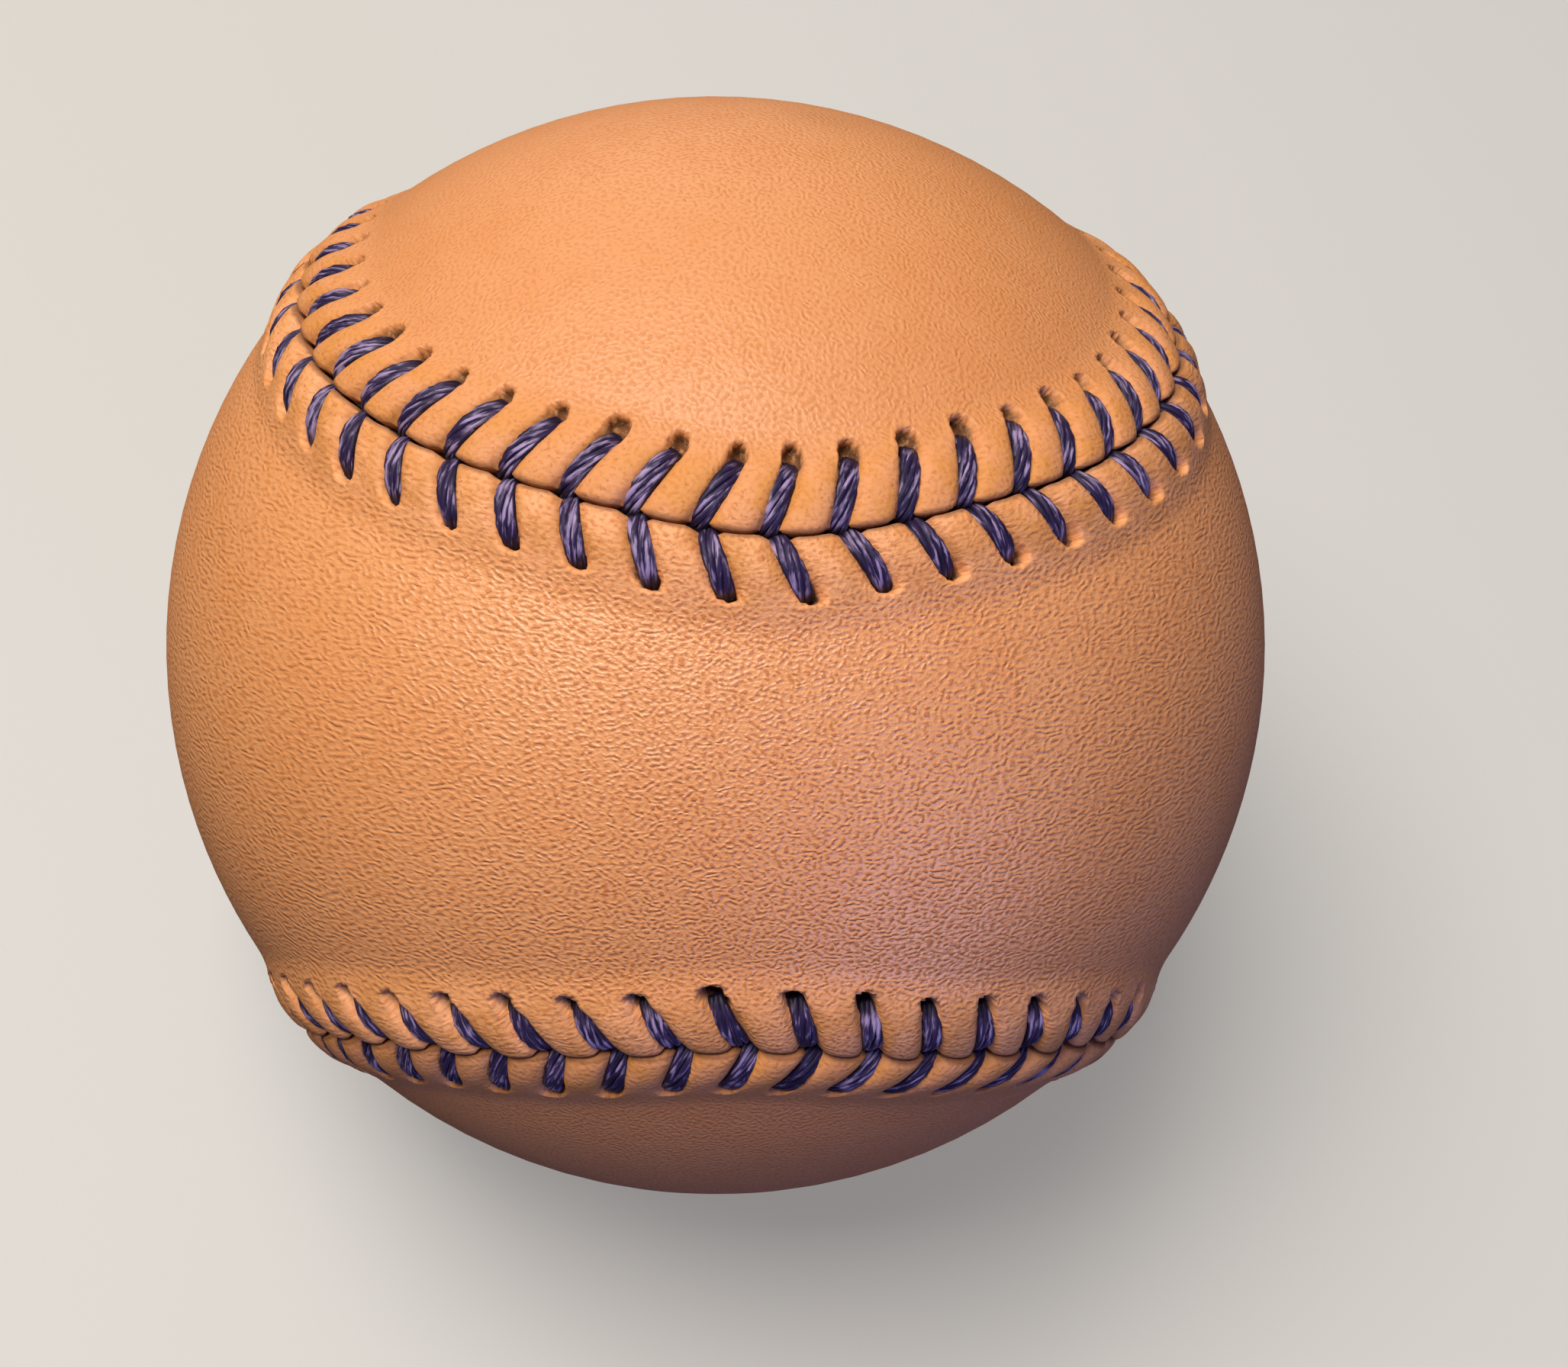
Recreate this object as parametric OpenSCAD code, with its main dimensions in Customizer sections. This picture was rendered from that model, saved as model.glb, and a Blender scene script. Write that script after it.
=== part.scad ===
// Hand-laced leather baseball: cushioned cork centre, four windings, two figure-eight
// leather panels and the lacing that draws their edges together into a raised seam.
// Millimetres, +Z up, origin at the centre of the ball, in the lie it has on the table.

/* [Centre] */
// Diameter of the cork and rubber core
core_d = 20.6; // [16:0.1:24]
// Wall of the two black rubber half-shells
half_shell_t = 3.95; // [3:0.05:5]
// Thickness of the red washer between the half-shells
washer_t = 0.8; // [0.4:0.1:2]
// Wall of the red rubber cover over the half-shells
rubber_cover_t = 2.4; // [1.5:0.1:3.5]

/* [Windings] */
// Thickness of the first winding, four-ply grey wool
first_winding_t = 14.6; // [12:0.1:16]
// Thickness of the second winding, three-ply white wool
second_winding_t = 1.8; // [1:0.1:3]
// Thickness of the third winding, three-ply grey wool
third_winding_t = 2.25; // [1:0.05:3]
// Thickness of the finish winding, fine white yarn
finish_winding_t = 0.5; // [0.3:0.05:1]
// Clearance between one layer and the next
layer_clear = 0.02; // [0.01:0.01:0.05]

/* [Cover] */
// Room for the coat of cement between the finish winding and the leather
cement_t = 0.2; // [0.2:0.05:0.4]
// Thickness of the leather
leather_t = 1.2; // [1:0.05:1.5]
// Half the angle across the waist of a panel, which shapes the whole seam
waist_angle = 23.3; // [21:0.1:26]
// Rise of the leather edge above the plain leather between two stitches
welt_rise = 1; // [0.8:0.05:1.2]
// Rise of the leather right at the seam line
edge_rise = 0.5; // [0.3:0.05:0.7]
// Distance from the seam line to the crest of the raised edge
crest_distance = 1.6; // [1.4:0.1:1.9]
// Width of the raised band on one panel
welt_w = 6; // [5.5:0.1:7]
// Gap between the two leather edges
seam_gap = 0.24; // [0.1:0.02:0.4]
// Length along the seam of the highest part of the leather between two stitches
pillow_l = 1.1; // [0.8:0.1:1.3]
// Depth of the small flat on which the ball rests
contact_depth = 0.45; // [0.4:0.05:0.6]

/* [Lacing] */
// Double stitches in a quarter of the seam
quarter_stitches = 27; // [25:1:28]
// Width of the flattened waxed thread
thread_w = 1.25; // [1:0.05:1.35]
// Thickness of the flattened waxed thread
thread_t = 0.75; // [0.65:0.05:0.85]
// Distance from the seam line to the middle of the row of punched holes
hole_distance = 3.55; // [3.4:0.05:3.9]
// Leather taken away by a hole beyond its middle
hole_reach = 0.55; // [0.5:0.05:0.65]
// Distance along the seam by which a stitch leans between the gap and its hole
stitch_lean = 1.5; // [0:0.1:1.6]
// Distance along the seam between the two stitches of a pair
pair_offset = 0.5; // [0:0.05:0.8]
// Depth to which a stitch pulls the raised edge down
stitch_pull = 0.85; // [0.75:0.05:0.9]
// Depth of a stitch's ends below the plain leather
stitch_dive = 0.6; // [0.5:0.05:0.7]
// Clearance between the thread and the leather
thread_clear = 0.06; // [0.05:0.01:0.1]

/* [Lie on the table] */
// Turn about X, then about Y, then about Z
lie = [4, 47, -75.5]; // [-180:0.5:180]

/* [Hidden] */
$fn = 96;

// Radii, from the core outwards
core_r = core_d / 2;
shell_in_r = core_r + layer_clear;
shell_r = shell_in_r + half_shell_t;
rubber_in_r = shell_r + layer_clear;
rubber_r = rubber_in_r + rubber_cover_t;
first_in_r = rubber_r + layer_clear;
first_r = first_in_r + first_winding_t;
second_in_r = first_r + layer_clear;
second_r = second_in_r + second_winding_t;
third_in_r = second_r + layer_clear;
third_r = third_in_r + third_winding_t;
finish_in_r = third_r + layer_clear;
finish_r = finish_in_r + finish_winding_t;
leather_in_r = finish_r + cement_t;
ball_r = leather_in_r + leather_t;

// Sides of the seam
FRONT = 1;
BACK = -1;

// The seam on a unit ball: it swings between the two poles while it goes round twice
function seam_colatitude(t) = 90 - (90 - waist_angle) * cos(t);
function seam_azimuth(t) = t / 2 + waist_angle * sin(2 * t);
function seam_point(t) =
    let (c = seam_colatitude(t), a = seam_azimuth(t))
    [sin(c) * cos(a), sin(c) * sin(a), cos(c)];

function unit(v) = v / norm(v);
seam_turn = 720;
seam_step = 1;
function seam_along(t) = unit(seam_point(t + seam_step / 2) - seam_point(t - seam_step / 2));
function seam_across(t) = cross(seam_point(t), seam_along(t));

// Length along the seam against the parameter, for even stitches
seam_lengths = [for (t = 0, s = 0; t <= seam_turn;
                     s = s + norm(seam_point(t + seam_step) - seam_point(t)), t = t + seam_step) [s, t]];
seam_l = seam_lengths[seam_turn / seam_step][0];
stitch_count = 4 * quarter_stitches;
stitch_pitch = seam_l * ball_r / stitch_count;
function seam_t(station) =
    lookup((station / stitch_count - floor(station / stitch_count)) * seam_l, seam_lengths);

// Direction of a point at a stitch number along the seam and a signed distance across it
function cover_dir(station, distance) =
    let (t = seam_t(station), a = distance / ball_r * 180 / PI)
    seam_point(t) * cos(a) + seam_across(t) * sin(a);

// Height of the raised edge over the plain leather, at a distance from the seam
function welt_height(d) = d < crest_distance
    ? edge_rise + (welt_rise - edge_rise) * sin(90 * d / crest_distance)
    : welt_rise * (1 + cos(180 * (d - crest_distance) / (welt_w - crest_distance))) / 2;

// A stitch is an arc of thread from the gap over the raised edge to its hole.
// It starts so far from the seam line that its slanted end stays on its own side.
// Its frame holds the arc's middle, outward and along directions, radius and half angle.
lean_angle = atan2(stitch_lean, hole_distance);
leg_inset = thread_t / 2 + thread_clear + (thread_w - thread_t) / 2 * sin(lean_angle);
leg_rise = welt_rise - stitch_pull + thread_clear + thread_t / 2;
function leg_station(k, side) = k - side * pair_offset / 2 / stitch_pitch;
function leg_frame(k, side) =
    let (start = leg_station(k, side),
         from = cover_dir(start, side * leg_inset) * (ball_r - stitch_dive),
         to = cover_dir(start - stitch_lean / stitch_pitch, side * hole_distance) * (ball_r - stitch_dive),
         mid = (from + to) / 2,
         chord = norm(to - from),
         rise = ball_r + leg_rise - norm(mid),
         radius = chord * chord / (8 * rise) + rise / 2)
    [unit(mid) * (norm(mid) + rise - radius), unit(mid), unit(to - from), radius, 2 * atan(2 * rise / chord)];

// Corner of the trough that a stitch presses into the leather, at a share of the arc's
// half angle and on the given hand of the thread
trough_share = 0.82;
trough_half_w = thread_w / 2 + thread_clear;
function trough_corner(k, side, share, hand) =
    let (f = leg_frame(k, side), a = share * f[4], r = f[3] - thread_t / 2 - thread_clear)
    f[0] + r * (cos(a) * f[1] + sin(a) * f[2]) + hand * trough_half_w * cross(f[1], f[2]);
// Far corner of the punched hole
function hole_corner(k, side, hand) =
    let (f = leg_frame(k, side), reach = hole_distance + hole_reach,
         station = leg_station(k, side) - stitch_lean / stitch_pitch * reach / hole_distance)
    ball_r * cover_dir(station, side * reach) + hand * trough_half_w * cross(f[1], f[2]);
// Corner of the pillow of leather between this stitch and the next one
function pillow_corner(k, side, d, hand) =
    let (station = leg_station(k + 0.5, side) + (hand * pillow_l / 2 - stitch_lean * d / hole_distance) / stitch_pitch)
    cover_dir(station, side * d) * (ball_r + welt_height(d));

// Distances of the pillow's corners from the seam
pillow_rows = [seam_gap / 2, crest_distance, hole_distance - hole_reach, hole_distance + hole_reach];

// Middle line of a panel, in its plane of symmetry: the point that a column of the panel runs to
spine_reach = 105;
function spine_dir(k, side) =
    let (p = seam_point(seam_t(k)),
         foot = side == FRONT ? atan2(p[1], p[2]) : atan2(p[0], -p[2]),
         a = spine_reach * sin(90 * foot / (180 - waist_angle)))
    side == FRONT ? [0, sin(a), cos(a)] : [sin(a), 0, -cos(a)];
function spine_index(k, side) =
    let (mate = (side == FRONT ? stitch_count / 2 - k : stitch_count - k) % stitch_count,
         mirrored = mate < 0 ? mate + stitch_count : mate)
    min(k, mirrored);

// Rows of the smooth middle of a panel, from the raised band to the middle line
field_rows = 4;
function field_dir(k, side, row) =
    let (a = cover_dir(k, side * welt_w), b = spine_dir(k, side))
    unit(a * sin((1 - row / field_rows) * acos(a * b)) + b * sin(row / field_rows * acos(a * b)));

// Corners of a panel. An outer row has four corners to a stitch, two beside the thread and
// two on the pillow, an inner row has the two beside the thread, and a field row has one.
function to_radius(p, r) = unit(p) * r;
function outer_row(side, row) = [for (k = [0:stitch_count - 1], i = [0:3])
    let (hand = side * (i % 2 == 0 ? 1 : -1))
    i > 1 ? pillow_corner(k, side, pillow_rows[row], i == 2 ? -1 : 1)
    : row < 3 ? trough_corner(k, side, (row - 1) * trough_share, hand)
    : hole_corner(k, side, hand)];
function inner_row(side, row) = [for (k = [0:stitch_count - 1], i = [0:1])
    let (hand = side * (i == 0 ? 1 : -1))
    to_radius(row < 3 ? trough_corner(k, side, (row - 1) * trough_share, hand) : hole_corner(k, side, hand),
              leather_in_r)];
function field(side, r) = [for (row = [0:field_rows], k = [0:stitch_count - 1]) field_dir(k, side, row) * r];
function panel_points(side) = concat(
    outer_row(side, 0), outer_row(side, 1), outer_row(side, 2), outer_row(side, 3), field(side, ball_r),
    inner_row(side, 0), inner_row(side, 2), inner_row(side, 3), field(side, leather_in_r));

// Places of those corners in the list
field_at = 16 * stitch_count;
inner_at = field_at + (field_rows + 1) * stitch_count;
inner_field_at = inner_at + 6 * stitch_count;
function wrap(k) = (k + stitch_count) % stitch_count;
function outer_i(row, k, i) = (row * stitch_count + wrap(k + floor(i / 4))) * 4 + i % 4;
function inner_i(row, k, i) = inner_at + (row * stitch_count + wrap(k + floor(i / 2))) * 2 + i % 2;
function field_i(base, side, row, k) =
    base + row * stitch_count + (row == field_rows ? spine_index(wrap(k), side) : wrap(k));

// Faces as seen on the front panel, and turned over on the back panel
function quad(a, b, c, d) = [[a, b, c], [a, c, d]];
function joined(lists) = [for (list = lists) each list];
function panel_faces(side) = joined([for (k = [0:stitch_count - 1]) joined([
    // raised edge, outside, left open at the punched hole
    joined([for (row = [0:2], i = [0:3]) if (row < 2 || i > 0)
        quad(outer_i(row, k, i), outer_i(row + 1, k, i), outer_i(row + 1, k, i + 1), outer_i(row, k, i + 1))]),
    // cut edge of the leather
    quad(inner_i(0, k, 0), outer_i(0, k, 0), outer_i(0, k, 1), inner_i(0, k, 1)),
    [[inner_i(0, k, 1), outer_i(0, k, 1), outer_i(0, k, 2)],
     [inner_i(0, k, 1), outer_i(0, k, 2), outer_i(0, k, 3)],
     [inner_i(0, k, 1), outer_i(0, k, 3), inner_i(0, k, 2)],
     [inner_i(0, k, 2), outer_i(0, k, 3), outer_i(0, k, 4)]],
    // raised edge, inside
    quad(inner_i(1, k, 0), inner_i(0, k, 0), inner_i(0, k, 1), inner_i(1, k, 1)),
    quad(inner_i(1, k, 1), inner_i(0, k, 1), inner_i(0, k, 2), inner_i(1, k, 2)),
    quad(inner_i(2, k, 1), inner_i(1, k, 1), inner_i(1, k, 2), inner_i(2, k, 2)),
    // walls of the punched hole
    quad(outer_i(2, k, 1), outer_i(2, k, 0), inner_i(1, k, 0), inner_i(1, k, 1)),
    quad(outer_i(2, k, 0), outer_i(3, k, 0), inner_i(2, k, 0), inner_i(1, k, 0)),
    quad(outer_i(3, k, 0), outer_i(3, k, 1), inner_i(2, k, 1), inner_i(2, k, 0)),
    quad(outer_i(3, k, 1), outer_i(2, k, 1), inner_i(1, k, 1), inner_i(2, k, 1)),
    // from the raised band to the smooth field
    [[outer_i(3, k, 0), field_i(field_at, side, 0, k - 1), field_i(field_at, side, 0, k)]],
    [for (i = [0:3]) [outer_i(3, k, i), field_i(field_at, side, 0, k), outer_i(3, k, i + 1)]],
    [[field_i(inner_field_at, side, 0, k - 1), inner_i(2, k, 0), field_i(inner_field_at, side, 0, k)]],
    [for (i = [0:1]) [field_i(inner_field_at, side, 0, k), inner_i(2, k, i), inner_i(2, k, i + 1)]],
    // smooth field, outside and inside
    joined([for (row = [0:field_rows - 1])
        quad(field_i(field_at, side, row, k), field_i(field_at, side, row + 1, k),
             field_i(field_at, side, row + 1, k + 1), field_i(field_at, side, row, k + 1))]),
    joined([for (row = [0:field_rows - 1])
        quad(field_i(inner_field_at, side, row + 1, k), field_i(inner_field_at, side, row, k),
             field_i(inner_field_at, side, row, k + 1), field_i(inner_field_at, side, row + 1, k + 1))])
])]);
function turned(faces) = [for (f = faces) [f[2], f[1], f[0]]];

module in_its_lie() {
    rotate(lie)
        children();
}

module layer(outer_r, inner_r) {
    difference() {
        sphere(outer_r);
        sphere(inner_r);
    }
}

module cork_core() {
    color([0.55, 0.36, 0.24])
        sphere(core_r);
}

// Half of a rubber shell, above or below the washer
module half_shell(side) {
    lift = washer_t / 2 + layer_clear;
    in_its_lie()
        intersection() {
            layer(shell_r, shell_in_r);
            translate([-shell_r, -shell_r, side > 0 ? lift : -shell_r])
                cube([2 * shell_r, 2 * shell_r, shell_r - lift]);
        }
}

module upper_half_shell() {
    color([0.12, 0.12, 0.12])
        half_shell(1);
}

module lower_half_shell() {
    color([0.12, 0.12, 0.12])
        half_shell(-1);
}

module shell_washer() {
    color([0.65, 0.16, 0.12])
        in_its_lie()
            intersection() {
                layer(shell_r, shell_in_r);
                translate([0, 0, -washer_t / 2])
                    cylinder(r = shell_r, h = washer_t);
            }
}

module rubber_cover() {
    color([0.68, 0.17, 0.13])
        layer(rubber_r, rubber_in_r);
}

module first_winding() {
    color([0.45, 0.46, 0.48])
        layer(first_r, first_in_r);
}

module second_winding() {
    color([0.92, 0.90, 0.85])
        layer(second_r, second_in_r);
}

module third_winding() {
    color([0.50, 0.51, 0.53])
        layer(third_r, third_in_r);
}

module finish_winding() {
    color([0.95, 0.94, 0.90])
        layer(finish_r, finish_in_r);
}

// One figure-eight leather panel with its raised, punched edge
module panel(side) {
    faces = panel_faces(side);
    color([0.80, 0.56, 0.34])
        difference() {
            in_its_lie()
                polyhedron(panel_points(side), side == FRONT ? faces : turned(faces), convexity = 10);
            translate([-ball_r, -ball_r, -2 * ball_r])
                cube([2 * ball_r, 2 * ball_r, ball_r + contact_depth]);
        }
}

module front_panel() {
    panel(FRONT);
}

module back_panel() {
    panel(BACK);
}

// Section of the thread, flattened where it is drawn tight over the leather
module thread_section() {
    flat = thread_w - thread_t;
    translate([-thread_t / 2, -flat / 2])
        square([thread_t, flat]);
    for (end = [-1, 1])
        translate([0, end * flat / 2])
            circle(d = thread_t);
}

// One stitch: an arc of thread out of the gap, over the raised edge and into its hole
module stitch(k, side) {
    f = leg_frame(k, side);
    axis = cross(f[1], f[2]);
    multmatrix([for (i = [0:2]) [f[1][i], f[2][i], axis[i], f[0][i]]])
        rotate([0, 0, -f[4]])
            rotate_extrude(angle = 2 * f[4])
                translate([f[3], 0])
                    thread_section();
}

module stitches(side) {
    color([0.17, 0.18, 0.40])
        in_its_lie()
            for (k = [0:stitch_count - 1])
                stitch(k, side);
}

module front_stitches() {
    stitches(FRONT);
}

module back_stitches() {
    stitches(BACK);
}

cork_core();
upper_half_shell();
lower_half_shell();
shell_washer();
rubber_cover();
first_winding();
second_winding();
third_winding();
finish_winding();
front_panel();
back_panel();
front_stitches();
back_stitches();
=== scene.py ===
import math

import bpy
import numpy as np
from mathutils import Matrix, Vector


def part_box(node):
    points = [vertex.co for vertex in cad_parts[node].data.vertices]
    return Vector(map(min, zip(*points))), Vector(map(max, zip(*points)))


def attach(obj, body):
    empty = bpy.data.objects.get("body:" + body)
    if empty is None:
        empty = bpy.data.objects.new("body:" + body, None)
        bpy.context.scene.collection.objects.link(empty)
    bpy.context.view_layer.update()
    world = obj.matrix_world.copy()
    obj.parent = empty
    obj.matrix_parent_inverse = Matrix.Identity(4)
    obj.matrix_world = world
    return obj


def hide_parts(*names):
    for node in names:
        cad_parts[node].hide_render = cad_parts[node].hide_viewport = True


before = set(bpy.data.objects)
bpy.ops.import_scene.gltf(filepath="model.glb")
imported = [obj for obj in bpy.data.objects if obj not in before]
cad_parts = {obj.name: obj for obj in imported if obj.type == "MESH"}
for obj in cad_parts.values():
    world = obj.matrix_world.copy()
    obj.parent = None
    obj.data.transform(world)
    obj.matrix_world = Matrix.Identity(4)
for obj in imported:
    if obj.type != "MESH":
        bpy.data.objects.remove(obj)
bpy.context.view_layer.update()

# Cork core
# The middle of the ball is a small sphere pressed from cork granules and a little rubber.
# It is moulded in one piece, and the two rubber half-shells close round it.

cork_grain = 0.0016
cork_joint = 0.12
cork_relief = 0.0002
cork_light = (0.46, 0.27, 0.14, 1)
cork_dark = (0.16, 0.08, 0.04, 1)


def place(tree, kind, inputs=(), **settings):
    """Adds a node to a tree. Its own settings come first, then each named input is joined to a socket or
    given a value."""
    node = tree.nodes.new(kind)
    for name, value in settings.items():
        setattr(node, name, value)
    for name, value in dict(inputs).items():
        if isinstance(value, bpy.types.NodeSocket):
            tree.links.new(value, node.inputs[name])
        else:
            node.inputs[name].default_value = value
    return node


def reckon(tree, operation, first, second=0.0, third=0.0):
    """One sum on values: a Math node's result."""
    return place(tree, "ShaderNodeMath", {0: first, 1: second, 2: third}, operation=operation).outputs[0]


def spread(tree, value, low, high, to_low=0.0, to_high=1.0):
    """A value eased from one span to another, flat beyond both ends."""
    limits = {"Value": value, "From Min": low, "From Max": high, "To Min": to_low, "To Max": to_high}
    return place(tree, "ShaderNodeMapRange", limits, interpolation_type="SMOOTHSTEP").outputs["Result"]


def mix_colour(tree, share, first, second):
    """The first colour with a share of the second laid over it."""
    return place(tree, "ShaderNodeMix", {0: share, 6: first, 7: second}, data_type="RGBA").outputs[2]


def new_material(name, **plain):
    """A material with a Principled shader joined to its output. Plain values are the same all over."""
    material = bpy.data.materials.new(name)
    material.use_nodes = True
    tree = material.node_tree
    tree.nodes.clear()
    shader = place(tree, "ShaderNodeBsdfPrincipled")
    for socket, value in plain.items():
        shader.inputs[socket.replace("_", " ")].default_value = value
    output = place(tree, "ShaderNodeOutputMaterial")
    tree.links.new(shader.outputs[0], output.inputs["Surface"])
    return material, tree, shader


def give_look(tree, shader, colour, roughness, height, strength, relief):
    """Joins a colour, a roughness and, through a bump, a height to the shader."""
    tree.links.new(colour, shader.inputs["Base Color"])
    tree.links.new(roughness, shader.inputs["Roughness"])
    bump = place(tree, "ShaderNodeBump", {"Height": height, "Strength": strength, "Distance": relief})
    tree.links.new(bump.outputs[0], shader.inputs["Normal"])


def dress(piece, material):
    """Gives a piece that one material."""
    piece.data.materials.clear()
    piece.data.materials.append(material)


cork, tree, shader = new_material("pressed_cork")
at = place(tree, "ShaderNodeTexCoord").outputs["Object"]
cells = {"Vector": at, "Scale": 1 / cork_grain}
granules = place(tree, "ShaderNodeTexVoronoi", cells)
joints = place(tree, "ShaderNodeTexVoronoi", cells, feature="DISTANCE_TO_EDGE")
shade = place(tree, "ShaderNodeSeparateColor", {0: granules.outputs["Color"]}).outputs[0]
bare = mix_colour(tree, shade, cork_dark, cork_light)
gap = spread(tree, joints.outputs["Distance"], 0.0, cork_joint)
give_look(tree, shader, mix_colour(tree, gap, cork_dark, bare), spread(tree, gap, 0.0, 1.0, 0.95, 0.8),
          gap, 0.6, cork_relief)
dress(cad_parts["cork_core"], cork)

# Rubber half-shells, washer and cover
# Two black moulded half-shells close round the core with a red washer between their rims.
# A red rubber cover is moulded over both and makes the cushioned centre one ball.

dust_scale = 180.0
skin_scale = 2600.0
skin_relief = 0.0001


def noise(tree, at, scale, detail):
    """Soft noise, from 0 to 1 and mostly near one half."""
    return place(tree, "ShaderNodeTexNoise", {"Vector": at, "Scale": scale, "Detail": detail}).outputs[0]


def rubber_material(name, colour, dust):
    """Moulded rubber: a dull colour with a bloom of paler dust in soft patches, and a fine moulded skin."""
    material, tree, shader = new_material(name)
    at = place(tree, "ShaderNodeTexCoord").outputs["Object"]
    patches = noise(tree, at, dust_scale, 5.0)
    skin = noise(tree, at, skin_scale, 2.0)
    bloom = spread(tree, patches, 0.4, 0.75)
    dusty = mix_colour(tree, bloom, colour, dust)
    give_look(tree, shader, dusty, spread(tree, patches, 0.3, 0.7, 0.55, 0.8), skin, 0.3, skin_relief)
    return material


black_rubber = rubber_material("black_rubber", (0.014, 0.014, 0.015, 1), (0.05, 0.05, 0.052, 1))
red_rubber = rubber_material("red_rubber", (0.36, 0.035, 0.022, 1), (0.45, 0.09, 0.065, 1))
dress(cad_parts["upper_half_shell"], black_rubber)
dress(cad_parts["lower_half_shell"], black_rubber)
dress(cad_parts["shell_washer"], red_rubber)
dress(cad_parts["rubber_cover"], red_rubber)

# Windings
# Three layers of wool yarn and a last one of fine cotton yarn are wound on under tension.
# Each goes round and round in bands that cross the ones below, until the ball is full.

winding_cells = 72
inner_cells = 20
weld_digits = 7
winding_bands = 60
fewest_strands, most_strands = 3, 6
strand_depth = 1 / 6
fibre_scale = 2200.0
tone_scale = 160.0
fibre_relief = 0.0001
layer_t = {"first_winding": 0.0146, "second_winding": 0.0018,
           "third_winding": 0.00225, "finish_winding": 0.0005}
grey_wool = (0.20, 0.205, 0.215, 1)
grey_shadow = (0.07, 0.072, 0.078, 1)
white_wool = (0.72, 0.69, 0.62, 1)
white_shadow = (0.38, 0.35, 0.30, 1)


def new_piece(name, places, corners):
    """A smooth mesh object at the origin from an array of places, in metres, and one of four-cornered
    faces. Places that no face uses are left out."""
    used, corners = np.unique(corners, return_inverse=True)
    corners = corners.reshape(-1, 4)
    mesh = bpy.data.meshes.new(name)
    mesh.vertices.add(len(used))
    mesh.vertices.foreach_set("co", places[used].astype(np.float32).ravel())
    mesh.loops.add(corners.size)
    mesh.loops.foreach_set("vertex_index", corners.astype(np.int32).ravel())
    mesh.polygons.add(len(corners))
    mesh.polygons.foreach_set("loop_start", np.arange(0, corners.size, 4, dtype=np.int32))
    mesh.polygons.foreach_set("use_smooth", np.ones(len(corners), bool))
    mesh.update(calc_edges=True)
    piece = bpy.data.objects.new(name, mesh)
    bpy.context.scene.collection.objects.link(piece)
    return piece, used


def ball_grid(cells):
    """Directions all over a ball, and the faces between them: a cube's six gridded sides blown up to a
    sphere. Equal angles between the grid lines keep the cells alike, and doubled corners are merged."""
    line = np.tan(np.linspace(-np.pi / 4, np.pi / 4, cells + 1))
    a, b = [x.ravel() for x in np.meshgrid(line, line, indexing="ij")]
    one = np.ones_like(a)
    sides = [np.roll(np.stack([one * end, a * end, b], 1), turn, axis=1)
             for turn in range(3) for end in (1, -1)]
    ways = np.concatenate(sides)
    ways /= np.linalg.norm(ways, axis=1, keepdims=True)
    cell = np.arange(cells * (cells + 1)).reshape(cells, cells + 1)[:, :-1].ravel()
    face = np.stack([cell, cell + cells + 1, cell + cells + 2, cell + 1], 1)
    faces = np.concatenate([face + side * len(a) for side in range(6)])
    welded, index = np.unique(np.round(ways, weld_digits), axis=0, return_inverse=True)
    return welded / np.linalg.norm(welded, axis=1, keepdims=True), index.reshape(-1)[faces]


def wound_relief(ways, radius, strand_w, seed):
    """Share of a strand's height that shows at each direction. The yarn lies in bands along great circles,
    each laid over the bands before it, and across a band the strands are half rounds side by side."""
    draw = np.random.default_rng(seed)
    poles = draw.normal(size=(winding_bands, 3))
    poles /= np.linalg.norm(poles, axis=1, keepdims=True)
    widths = draw.integers(fewest_strands, most_strands + 1, winding_bands) * strand_w
    relief = np.zeros(len(ways))
    for pole, width in zip(poles, widths):
        across = radius * np.arcsin(np.clip(ways @ pole, -1, 1))
        strand = np.sqrt(np.abs(np.sin(np.pi * across / strand_w)))
        relief = np.where(np.abs(across) < width, strand, relief)
    return relief


def winding(name, node, strand_w, colour, shadow, seed):
    """One wound layer: a shell whose outside shows its strands, and whose inside is smooth on the layer
    below."""
    low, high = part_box(node)
    radius = (high.x - low.x) / 2
    ways, faces = ball_grid(winding_cells)
    sunk = strand_depth * strand_w * (1 - wound_relief(ways, radius, strand_w, seed))
    outside = ways * (radius - sunk)[:, None]
    inner_ways, inner_faces = ball_grid(inner_cells)
    inside = inner_ways * (radius - layer_t[node])
    places = np.concatenate([outside, inside])
    corners = np.concatenate([faces, inner_faces[:, ::-1] + len(outside)])
    piece, _ = new_piece(name, places, corners)
    material, tree, shader = new_material(name + "_yarn", Sheen_Weight=0.3, Sheen_Roughness=0.5)
    at = place(tree, "ShaderNodeTexCoord").outputs["Object"]
    fibre = noise(tree, at, fibre_scale, 4.0)
    tone = noise(tree, at, tone_scale, 3.0)
    share = spread(tree, reckon(tree, "MULTIPLY", fibre, tone), 0.12, 0.36)
    spun = mix_colour(tree, share, shadow, colour)
    give_look(tree, shader, spun, spread(tree, fibre, 0.3, 0.7, 0.8, 0.95), fibre, 0.5, fibre_relief)
    dress(piece, material)
    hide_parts(node)
    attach(piece, "root")


winding("first_wool_winding", "first_winding", 0.0022, grey_wool, grey_shadow, 1)
winding("second_wool_winding", "second_winding", 0.0018, white_wool, white_shadow, 2)
winding("third_wool_winding", "third_winding", 0.0018, grey_wool, grey_shadow, 3)
winding("fine_yarn_winding", "finish_winding", 0.0011, white_wool, white_shadow, 4)

# Leather cover
# Two figure-eight panels of natural tan leather are damped and stretched over the windings.
# The lacing draws their edges up into rounded pillows between the stitches, beside a row of punched holes.

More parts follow.
